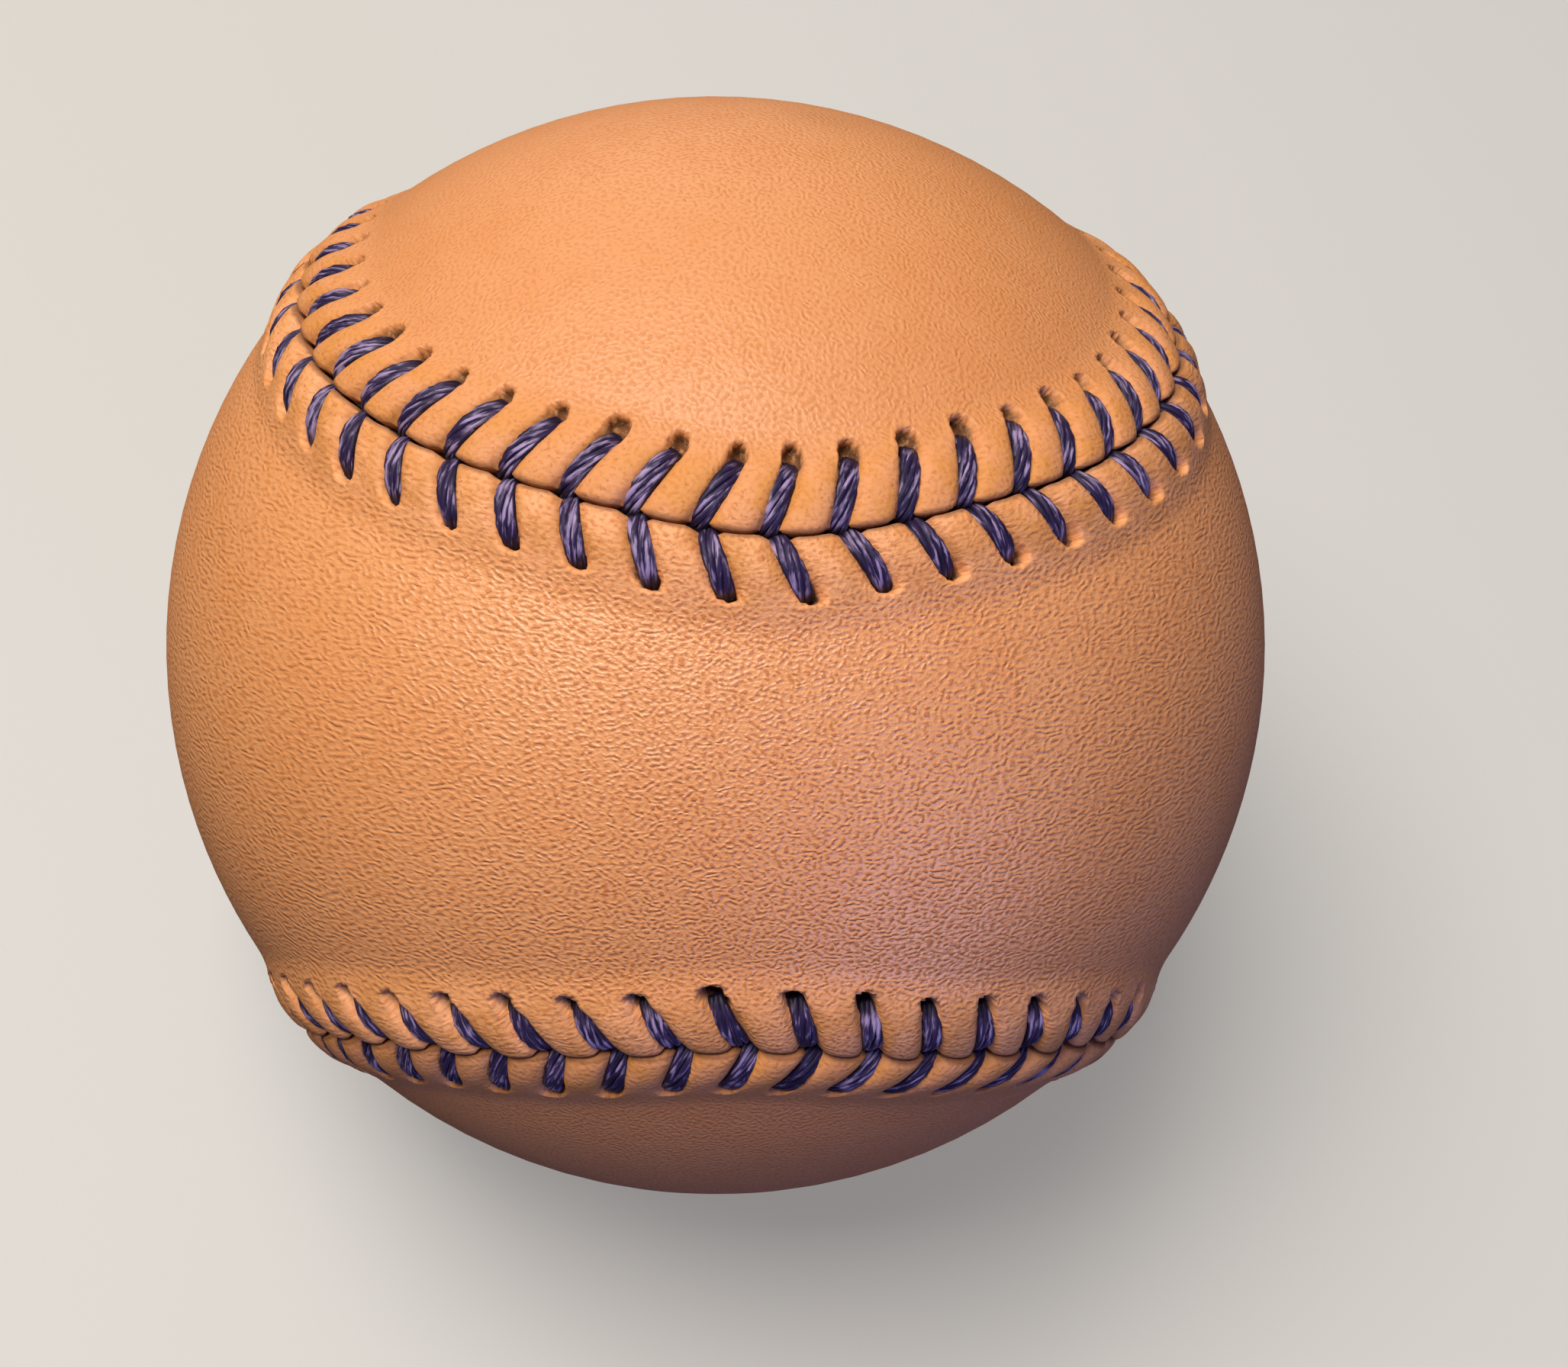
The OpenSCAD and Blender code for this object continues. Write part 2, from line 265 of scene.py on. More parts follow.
FRONT, BACK = 1, -1
leather_t = 0.0012
cement_t = 0.0002
leather_in_r = (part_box("finish_winding")[1].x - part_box("finish_winding")[0].x) / 2 + cement_t
ball_r = leather_in_r + leather_t
table_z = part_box("back_panel")[0].z
lie = np.radians([4, 47, -75.5])

# seam and stitches
waist_angle = math.radians(23.3)
spine_angle = math.radians(105)
stitch_count = 108
stitch_lean = 0.00135
lean_end = 1.3
pair_offset = 0.00050
stitch_reach = 0.00306
reach_sway = 0.00016
seam_gap = 0.00016
seam_bow = 0.00014
seam_bow_least = 0.5
seam_bow_end = (0.0005, 0.0030)
seam_points = 14401
seam_nudge = 1e-4
junction_gap = 0.00020
junction_w = (0.00045, 0.00115)

# raised edge
welt_w = 0.0060
pillow_rise = 0.00104
pillow_crest = 0.0016
pillow_round = 2.6
edge_share = 0.48
edge_round = 3
trough_rise = 0.00012
trough_half_w = 0.00052
trough_end = (-0.0002, 0.0010)
gap_sink = 0.0003
gap_sink_w = (0.0001, 0.0010)
hole_sink = 0.0002
hole_sink_w = (0.0018, 0.0030)
cut_edge_w = (0.00014, 0.00040)
# how far the painted shade in the trough beside the thread reaches
trough_shade_end = 0.0008

# punched holes, with shares of the hole's own size for its wall and lip
hole_beyond = 0.00052
hole_drawn = 0.00025
hole_half_w = {"front_panel": 0.00058, "back_panel": 0.00072}
hole_half_l = {"front_panel": 0.00066, "back_panel": 0.00078}
hole_stretch = 0.00012
hole_under = {"front_panel": 1.0, "back_panel": 1.5}
hole_depths = {"front_panel": 0.00095, "back_panel": 0.00085}
hole_filled = {"front_panel": 0.0, "back_panel": 0.45}
hole_wall = (0.84, 1.12)
lip_rise = 0.00005
lip_at, lip_w = 1.22, 0.20
lip_from = (0.0004, 0.0010)

# how far the work of a hand varies, and the seed of each draw
pillow_hand = (0.10, 1)
hole_size_hand = (0.16, 2)
hole_place_hand = (0.12, 3)
hole_depth_hand = (0.25, 4)

# the grid
columns_per_stitch = 16
column_crowding = 0.045
welt_rows = np.array([0, 0.04, 0.1, 0.18, 0.3, 0.46, 0.68, 0.95, 1.3, 1.65, 2.0, 2.35, 2.6, 2.8, 2.98,
                      3.16, 3.34, 3.52, 3.7, 3.88, 4.06, 4.24, 4.42, 4.6, 4.78, 4.96, 5.16, 5.4, 5.7,
                      6.0]) / 1000
inside_row = 14
field_rows = 12

# the hide's map: past the waist's length the grain is stretched over the lobes
waist_l = 0.018
lobe_across = 0.8
lobe_along = 0.35


def unit(v):
    """The vectors at length one."""
    return v / np.linalg.norm(v, axis=-1, keepdims=True)


def seam_place(t):
    """The seam on a ball of radius one: it swings between the poles twice while it goes round twice."""
    down = np.pi / 2 - (np.pi / 2 - waist_angle) * np.cos(t)
    around = t / 2 + waist_angle * np.sin(2 * t)
    return np.stack([np.sin(down) * np.cos(around), np.sin(down) * np.sin(around), np.cos(down)], -1)


seam_steps = np.linspace(0, 4 * np.pi, seam_points)
seam_pieces = np.linalg.norm(np.diff(seam_place(seam_steps), axis=0), axis=1)
seam_lengths = np.concatenate([[0], np.cumsum(seam_pieces)])
stitch_pitch = seam_lengths[-1] * ball_r / stitch_count


def seam_turn(station):
    """The seam's own angle at a stitch number, by even length along the seam."""
    return np.interp(station / stitch_count % 1 * seam_lengths[-1], seam_lengths, seam_steps)


def cover_way(station, distance):
    """Direction of a place on the cover, from its stitch number along the seam and its distance across."""
    t = seam_turn(station)
    here = seam_place(t)
    across = np.cross(here, unit(seam_place(t + seam_nudge) - seam_place(t - seam_nudge)))
    angle = (distance / ball_r)[..., None]
    return here * np.cos(angle) + across * np.sin(angle)


def in_its_lie(places):
    """Turned about X, then Y, then Z, to the way the ball lies on the table."""
    (sx, sy, sz), (cx, cy, cz) = np.sin(lie), np.cos(lie)
    about_x = np.array([[1, 0, 0], [0, cx, -sx], [0, sx, cx]])
    about_y = np.array([[cy, 0, sy], [0, 1, 0], [-sy, 0, cy]])
    about_z = np.array([[cz, -sz, 0], [sz, cz, 0], [0, 0, 1]])
    return places @ (about_z @ about_y @ about_x).T


def ease(x, low, high):
    """From 0 to 1 between two values, smooth at both ends."""
    x = np.clip((x - low) / (high - low), 0, 1)
    return x * x * (3 - 2 * x)


def seam_sway(station):
    """How far the seam line stands to the front of its middle. It bows between the stitches, one way on one
    half of the ball and the other way on the other half."""
    between = np.sin(np.pi * station) ** 2
    return -np.cos(seam_turn(station) / 2) * seam_bow * (seam_bow_least + between)


def reach_of(station, side):
    """How far from the seam the thread goes down, and how much the hole there is drawn out, from 1 to -1.
    The lacing drew one panel's edge tighter on one half of the ball and the other's on the other half."""
    half = np.cos(seam_turn(station) / 2)
    return stitch_reach - reach_sway * (side + half), side * half


def hand_made(side, spread_share, seed):
    """A factor near one for each stitch, as the work of a hand varies."""
    return 1 + spread_share * np.random.default_rng(seed * 10 + side).uniform(-1, 1, stitch_count)


def spine_way(station, side):
    """Where a panel's column ends: on the panel's middle line, by the angle of the column's foot there."""
    x, y, z = np.moveaxis(seam_place(seam_turn(station)), -1, 0)
    foot = np.arctan2(y, z) if side == FRONT else np.arctan2(x, -z)
    a = spine_angle * np.sin(np.pi / 2 * foot / (np.pi - waist_angle))
    none = np.zeros_like(a)
    return np.stack([none, np.sin(a), np.cos(a)] if side == FRONT else [np.sin(a), none, -np.cos(a)], -1)


def cover_panel(name, node, side):
    """One panel as a grid. A column runs from the middle line on the inside, round the cut edge at the
    seam, over the raised edge and back to the middle line on the outside. Between two stitches the edge is
    a rounded pillow, and under each stitch it is drawn down into a trough that ends in the punched hole."""
    column = np.arange(stitch_count * columns_per_stitch)
    count = column / columns_per_stitch
    nearest = np.round(count)
    stitch = nearest.astype(int) % stitch_count
    pillow = np.floor(count).astype(int) % stitch_count
    phase = count - nearest
    phase = phase + column_crowding * np.sin(4 * np.pi * phase)
    aside = phase * stitch_pitch

    # along and across the seam
    far = (stitch_pitch / 2 - np.abs(aside)) / (stitch_pitch / 2 - trough_half_w)
    round_up = (1 - np.clip(far, 0, 1) ** pillow_round) ** (1 / pillow_round)
    edge = seam_gap / 2 + junction_gap * ease(np.abs(aside), junction_w[1], junction_w[0])
    d = edge + welt_rows[:, None] * (1 - edge / welt_rows[-1])
    leg = nearest + phase - side * pair_offset / 2 / stitch_pitch
    reach, drawn = reach_of(leg, side)
    station = leg - stitch_lean / stitch_pitch * np.minimum(d / stitch_reach, lean_end)
    sway = seam_sway(leg) * (1 - ease(d, *seam_bow_end))

    # height over the plain leather
    inner = np.clip((pillow_crest - d) / pillow_crest, 0, 1)
    outer = np.clip((d - pillow_crest) / (welt_w - pillow_crest), 0, 1)
    crest = edge_share + (1 - edge_share) * (1 - inner ** edge_round) ** (1 / edge_round)
    crest = crest * (1 + np.cos(np.pi * outer)) / 2
    crest = crest * pillow_rise * hand_made(side, *pillow_hand)[pillow]
    trough = trough_rise - gap_sink * ease(d, gap_sink_w[1], gap_sink_w[0])
    trough = trough - hole_sink * ease(d, *hole_sink_w)
    filled = 1 - (1 - round_up) * (1 - ease(d, reach + trough_end[0], reach + trough_end[1]))
    height = trough + (crest - trough) * filled

    # the hole sinks into it, inside its lip
    size = hand_made(side, *hole_size_hand)[stitch]
    off_w = aside / (hole_half_w[node] * size)
    off_l = d - reach - (hole_beyond + hole_drawn * drawn) * hand_made(side, *hole_place_hand)[stitch]
    half_l = (hole_half_l[node] + hole_stretch * drawn) * size
    off_l = off_l / half_l / np.where(off_l < 0, hole_under[node], 1)
    away = np.sqrt(off_w ** 2 + off_l ** 2)
    hole = ease(away, hole_wall[1], hole_wall[0])
    lip = np.exp(-((away - lip_at) / lip_w) ** 2) * ease(d, reach + lip_from[0], reach + lip_from[1])
    depth = hole_depths[node] * (1 - hole_filled[node] * np.maximum(-drawn, 0))
    depth = depth * hand_made(side, *hole_depth_hand)[stitch]
    height = height * (1 - hole) - hole * depth + lip_rise * lip
    outside = cover_way(station, side * d + sway) * (ball_r + height)[..., None]

    # smooth field to the middle line, then the inside
    foot = cover_way(station[-1], side * d[-1])
    spine = spine_way(count, side)
    between = np.arccos(np.clip((foot * spine).sum(-1), -1, 1))[:, None]
    share = (np.arange(1, field_rows + 1) / field_rows)[:, None, None]
    field = unit(foot * np.sin((1 - share) * between) + spine * np.sin(share * between))
    inside = [field[-1], field[field_rows // 2], foot, unit(outside[inside_row]), unit(outside[0])]
    rows = np.concatenate([np.stack(inside) * leather_in_r, outside, field * ball_r])

    # the hide's own map, across and along the middle line
    x, y, z = np.moveaxis(unit(rows), -1, 0)
    hide_map = [np.arcsin(x), np.arctan2(y, z)] if side == FRONT else [np.arcsin(y), np.arctan2(x, -z)]
    from_spine, from_waist = np.array(hide_map) * ball_r
    if side == FRONT:
        far_out = from_waist / waist_l
        from_spine = from_spine * (lobe_across + (1 - lobe_across) / (1 + far_out ** 2))
        from_waist = lobe_along * from_waist + (1 - lobe_along) * waist_l * np.arctan(far_out)
    hide_map = np.stack([from_spine, from_waist], -1)
    rows = in_its_lie(rows)
    rows[..., 2] = np.maximum(rows[..., 2], table_z)

    # faces, with the two halves of the middle line sewn together
    total, wide = rows.shape[:2]
    mate = (stitch_count // 2 * columns_per_stitch - column if side == FRONT else -column) % wide
    index = np.arange(total * wide).reshape(total, wide)
    index[[0, -1]] = index[[0, -1]][:, np.minimum(column, mate)]
    beside = np.roll(index, -1, axis=1)
    corners = np.stack([index[:-1], index[1:], beside[1:], beside[:-1]], -1).reshape(-1, 4)
    piece, used = new_piece(name, rows.reshape(-1, 3), corners if side == FRONT else corners[:, ::-1])

    # what the leather's finish follows: maps along the seam and of the hide, and marks for the raised edge,
    # the holes, the painted shade in the trough beside the thread, and the cut edge
    lead, tail = len(inside), field_rows
    across = np.pad(d, ((lead, tail), (0, 0)), constant_values=welt_w)
    seam_map = np.stack([np.broadcast_to(leg * stitch_pitch, (total, wide)), across], -1)
    seam_length = stitch_count * stitch_pitch
    for map_name, flat, turn_length in (("seam", seam_map, seam_length), ("hide", hide_map, 0)):
        ahead = np.roll(flat, -1, axis=1)
        ahead[:, -1, 0] += turn_length
        corner_map = np.stack([flat[:-1], flat[1:], ahead[1:], ahead[:-1]], 2).reshape(-1, 4, 2)
        corner_map = corner_map if side == FRONT else corner_map[:, ::-1]
        layer = piece.data.uv_layers.new(name=map_name)
        layer.uv.foreach_set("vector", corner_map.astype(np.float32).ravel())
    marks = {"raised": crest / pillow_rise, "hole": hole,
             "trough_shade": (1 - filled) * ease(d, reach + trough_shade_end, reach),
             "cut_edge": ease(d, cut_edge_w[1], cut_edge_w[0])}
    for mark, value in marks.items():
        whole = np.zeros((total, wide))
        whole[lead:total - tail] = value
        held = piece.data.attributes.new(mark, "FLOAT", "POINT")
        held.data.foreach_set("value", whole.ravel()[used].astype(np.float32))
    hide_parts(node)
    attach(piece, "root")
    return piece


front_cover = cover_panel("front_cover", "front_panel", FRONT)
back_cover = cover_panel("back_cover", "back_panel", BACK)

# natural tan leather; the back panel's tans are a little darker than the front's, as painted shade over
# the brightly lit top lobes
tans_and_back_shade = {"front_panel": (0.85, 0.366, 0.137, 1), "back_panel": (0.740, 0.311, 0.120, 1)}
deep_tans_and_back_shade = {"front_panel": (0.82, 0.332, 0.113, 1), "back_panel": (0.715, 0.282, 0.098, 1)}
# crease tans: the grain's creases, darkened partly as the hide's own colour and partly as painted shade,
# and painted shade in the trough beside the thread
crease_and_shade_tans = {"front_panel": (0.53, 0.130, 0.014, 1), "back_panel": (0.54, 0.165, 0.036, 1)}
tan_rubbed = (0.69, 0.275, 0.066, 1)
tan_pit = (0.48, 0.150, 0.030, 1)
# the punched holes' deep colour is painted shade; their fluff is the leather's own
punched_shade = {"front_panel": (0.10, 0.034, 0.012, 1), "back_panel": (0.15, 0.055, 0.018, 1)}
punched_fluff = (0.48, 0.225, 0.085, 1)
fluff_from = {"front_panel": 0.52, "back_panel": 0.48}
fluff_span = 0.24

# each stain: its middle, its size and how strong it is, with an edge between two shares of its size
stain_edge = (0.9, 1.8)
stain_ragged = 1.6
# the stains' colour also darkens the cut edge, as its own darker colour and as painted shade in the seam
# gap
stain_and_shade_colour = (0.24, 0.085, 0.028, 1)
stains = {"front_panel": [((0.01147, -0.01181, 0.03349), 0.0013, 0.35),
                          ((0.00384, -0.03458, 0.01350), 0.0010, 0.45)],
          "back_panel": [((-0.00090, 0.01940, 0.03187), 0.0030, 0.10)]}

# the grain: ripples and pebbles in its own cells, and the span of heights that stays
ripple_rate = 1.8
pebble_rate = 2.7
pebble_share = 0.44
grain_sway_rate = 0.7
grain_low, grain_high = 0.36, 0.68
grain_round = 0.6
crease_from = 0.54

# its size across and along the panel, its relief, how much of that the panel's ends keep, how dark its
# creases are, partly as painted shade, and the finish
grain_cells = {"front_panel": (0.00058, 0.00078, 1.0), "back_panel": (0.00074, 0.00074, 1.0)}
grain_rises = {"front_panel": 0.000064, "back_panel": 0.000042}
grain_ends = {"front_panel": 0.82, "back_panel": 1.0}
grain_crease_shading = {"front_panel": 0.70, "back_panel": 0.66}
dullness = {"front_panel": 0.43, "back_panel": 0.46}
gloss = {"front_panel": 0.85, "back_panel": 0.5}
crease_dullness = 0.15
welt_dullness = 0.24
end_tint = 0.60
tint_ends = (0.004, 0.022)
relief_ends = (0.015, 0.027)
cloud_scale, patch_scale, pit_scale, fluff_scale = 70.0, 420.0, 3400.0, 2600.0
fold_scale = (1300.0, 3600.0, 1.0)
fold_share = 1.10
fold_calm = 0.40
fluff_share = 2.0
patch_share = 0.4
pit_share, welt_pit_share = 0.05, 0.62
# shares of painted shade in the trough beside the thread and on the cut edge in the seam gap
trough_shade_share = 0.30
cut_edge_shade = 0.8
fray = 0.9


def leather_grain():
    """Grain of the hide as a group: short ripples that run every way, swayed so that no two are alike, with
    finer pebbles added. It gives the height, rounded on top, and the depth of the creases between."""
    group = bpy.data.node_groups.new("leather_grain", "ShaderNodeTree")
    group.interface.new_socket("Place", in_out="INPUT", socket_type="NodeSocketVector")
    group.interface.new_socket("Height", in_out="OUTPUT", socket_type="NodeSocketFloat")
    group.interface.new_socket("Crease", in_out="OUTPUT", socket_type="NodeSocketFloat")
    place_in = place(group, "NodeGroupInput").outputs["Place"]
    soft = {"Vector": place_in, "Scale": grain_sway_rate, "Detail": 1.0}
    sway = place(group, "ShaderNodeTexNoise", soft)
    sway = place(group, "ShaderNodeVectorMath", {0: sway.outputs["Color"], 1: (0.5, 0.5, 0.5)},
                 operation="SUBTRACT")
    at = place(group, "ShaderNodeVectorMath", {0: sway.outputs[0], 1: place_in}, operation="ADD")
    every_way = {"Vector": at.outputs[0], "Scale": 1.0, "Frequency": ripple_rate, "Anisotropy": 0.0}
    ripple = place(group, "ShaderNodeTexGabor", every_way).outputs["Value"]
    ripple = reckon(group, "MULTIPLY", ripple, 1 - pebble_share)
    pebbles = noise(group, place_in, pebble_rate, 1.0)
    raw = reckon(group, "MULTIPLY_ADD", pebbles, pebble_share, ripple)
    span = {"Value": raw, "From Min": grain_low, "From Max": grain_high}
    slope = place(group, "ShaderNodeMapRange", span).outputs[0]
    rounded = reckon(group, "MULTIPLY_ADD", slope, -grain_round, 1 + grain_round)
    high = reckon(group, "MULTIPLY", slope, rounded)
    line = spread(group, raw, crease_from, grain_low)
    place(group, "NodeGroupOutput", {"Height": high, "Crease": line})
    return group


def leather_material(name, node, grain):
    """Tan leather. The grain follows the hide's map across and along the panel's middle line. Its creases
    are darkened, partly as the hide's own colour and partly as painted shade, and get paler towards the
    panel's ends, where its relief may be lower too. Raised edges are smoother, duller and pitted, with fine
    folds along the seam. Painted shade darkens the trough beside the thread, the cut edge in the seam gap
    along with its own darker colour, and the depth of the punched holes, which are fluffy."""
    material, tree, shader = new_material(name, Specular_IOR_Level=gloss[node])
    object_at = place(tree, "ShaderNodeTexCoord").outputs["Object"]
    seam_at = place(tree, "ShaderNodeUVMap", uv_map="seam").outputs[0]
    hide_at = place(tree, "ShaderNodeUVMap", uv_map="hide").outputs[0]
    from_waist = place(tree, "ShaderNodeSeparateXYZ", {0: hide_at}).outputs["Y"]
    from_waist = reckon(tree, "ABSOLUTE", from_waist)
    panel_at = place(tree, "ShaderNodeMapping", {"Vector": hide_at, "Scale": grain_cells[node]},
                     vector_type="TEXTURE").outputs[0]
    hide = place(tree, "ShaderNodeGroup", {"Place": panel_at}, node_tree=grain)
    raised, hole, trough_shade, cut_edge = [
        place(tree, "ShaderNodeAttribute", attribute_name=mark).outputs["Fac"]
        for mark in ("raised", "hole", "trough_shade", "cut_edge")]
    cloud = noise(tree, object_at, cloud_scale, 4.0)
    patch = noise(tree, object_at, patch_scale, 3.0)
    pits = noise(tree, object_at, pit_scale, 2.0)
    fluff = noise(tree, object_at, fluff_scale, 3.0)

    # colour: tone of the hide, rubbed and pitted edge, creases of the grain darkened partly as the hide's
    # own colour and partly as painted shade
    tone = reckon(tree, "MULTIPLY", cloud, 1 - patch_share)
    tone = reckon(tree, "MULTIPLY_ADD", patch, patch_share, tone)
    bare = mix_colour(tree, spread(tree, tone, 0.38, 0.66), tans_and_back_shade[node], deep_tans_and_back_shade[node])
    rubbed = reckon(tree, "MULTIPLY", raised, spread(tree, patch, 0.40, 0.62))
    bare = mix_colour(tree, rubbed, bare, tan_rubbed)
    pitted = reckon(tree, "MULTIPLY_ADD", raised, welt_pit_share, pit_share)
    pitted = reckon(tree, "MULTIPLY", spread(tree, pits, 0.58, 0.70), pitted)
    bare = mix_colour(tree, pitted, bare, tan_pit)
    faded = spread(tree, from_waist, *tint_ends, 1.0, end_tint)
    crease_shade = reckon(tree, "MULTIPLY", hide.outputs["Crease"], faded)
    tint = reckon(tree, "MULTIPLY_ADD", raised, -grain_crease_shading[node] / 3, grain_crease_shading[node])
    crease_shade = reckon(tree, "MULTIPLY", crease_shade, tint)
    bare = mix_colour(tree, crease_shade, bare, crease_and_shade_tans[node])

    # then stains, painted shade in the trough beside the thread, the cut edge darkened partly as painted
    # shade in the seam gap, and fluffy holes with painted shade in their depth
    for spot, size, share in stains[node]:
        away = place(tree, "ShaderNodeVectorMath", {0: object_at, 1: spot}, operation="DISTANCE")
        away = reckon(tree, "MULTIPLY_ADD", patch, stain_ragged * size, away.outputs["Value"])
        stained = spread(tree, away, stain_edge[1] * size, stain_edge[0] * size, 0.0, share)
        bare = mix_colour(tree, stained, bare, stain_and_shade_colour)
    bare = mix_colour(tree, reckon(tree, "MULTIPLY", trough_shade, trough_shade_share), bare, crease_and_shade_tans[node])
    bare = mix_colour(tree, reckon(tree, "MULTIPLY", cut_edge, cut_edge_shade), bare, stain_and_shade_colour)
    # the holes' depth painted as shade, broken by pale fluff
    fluff_and_hole_shade = spread(tree, fluff, fluff_from[node], fluff_from[node] + fluff_span)
    fluff_and_hole_shade = mix_colour(tree, fluff_and_hole_shade, punched_shade[node], punched_fluff)
    frayed = reckon(tree, "ADD", hole, reckon(tree, "MULTIPLY_ADD", fluff, fray, -fray / 2))
    bare = mix_colour(tree, spread(tree, frayed, 0.15, 0.75), bare, fluff_and_hole_shade)

    dull = reckon(tree, "ADD", spread(tree, raised, 0.05, 0.5, 0.0, welt_dullness), dullness[node])
    dull = reckon(tree, "MULTIPLY_ADD", hide.outputs["Crease"], crease_dullness, dull)
    dull = reckon(tree, "MAXIMUM", dull, hole)

    folds_at = place(tree, "ShaderNodeMapping", {"Vector": seam_at, "Scale": fold_scale}).outputs[0]
    folds = noise(tree, folds_at, 1.0, 3.0)
    folded = spread(tree, raised, 0.15, 0.6)
    kept = spread(tree, from_waist, *relief_ends, 1.0, grain_ends[node])
    smooth = reckon(tree, "MULTIPLY_ADD", folded, -fold_calm, kept)
    relief = reckon(tree, "MULTIPLY", hide.outputs["Height"], smooth)
    relief = reckon(tree, "MULTIPLY_ADD", reckon(tree, "MULTIPLY", folds, folded), fold_share, relief)
    relief = reckon(tree, "MULTIPLY_ADD", reckon(tree, "MULTIPLY", fluff, hole), fluff_share, relief)
    give_look(tree, shader, bare, dull, relief, 1.0, grain_rises[node])
    return material


hide_grain = leather_grain()
dress(front_cover, leather_material("tan_leather_front", "front_panel", hide_grain))
dress(back_cover, leather_material("tan_leather_back", "back_panel", hide_grain))

# Lacing
# Waxed indigo thread is laced by hand through the punched holes, two needles at once.
# Each stitch comes out of the gap, crosses one raised edge and goes down into its hole.

thread_w = 0.00134
thread_t = 0.00072
strand_r = 0.00024
strands = 6
strand_turn = 0.008
strand_sides = 6
lay_seed = 70

# each leg's arch: how square and how far forward it is, how its rings crowd and how its end narrows
leg_rise = 0.00060
leg_dive = 0.00050
leg_inset = 0.00012
leg_square = 0.62
leg_forward = 0.88
leg_crowding = 0.8
leg_rings = 11
leg_taper = 0.25
leg_taper_from = 0.68
leg_beyond = 0.00048
leg_drawn = {"front_stitches": 0.0, "back_stitches": 0.00052}
leg_lean_hand = (0.12, 5)
leg_rise_hand = (0.06, 6)
leg_tone_hand = (1, 8)

# the fibres' map, kept apart from stitch to stitch and from strand to strand
stitch_apart = 0.01
strand_apart = 3.7
fibre_along, fibre_around = 760.0, 4.5
thread_relief = 0.00008
# indigo dye, with a dark that stands for darker fibres and for painted shade on the strands' undersides,
# along the thread's flanks and at the arch's low ends
indigo = (0.022, 0.011, 0.052, 1)
indigo_dark_and_shade = (0.006, 0.002, 0.016, 1)
# lavender for paler fibres and for a painted highlight along the strands' tops
lavender_fibre_and_highlight = (0.34, 0.25, 0.43, 1)
wax_sheen = (0.80, 0.70, 0.95, 1)


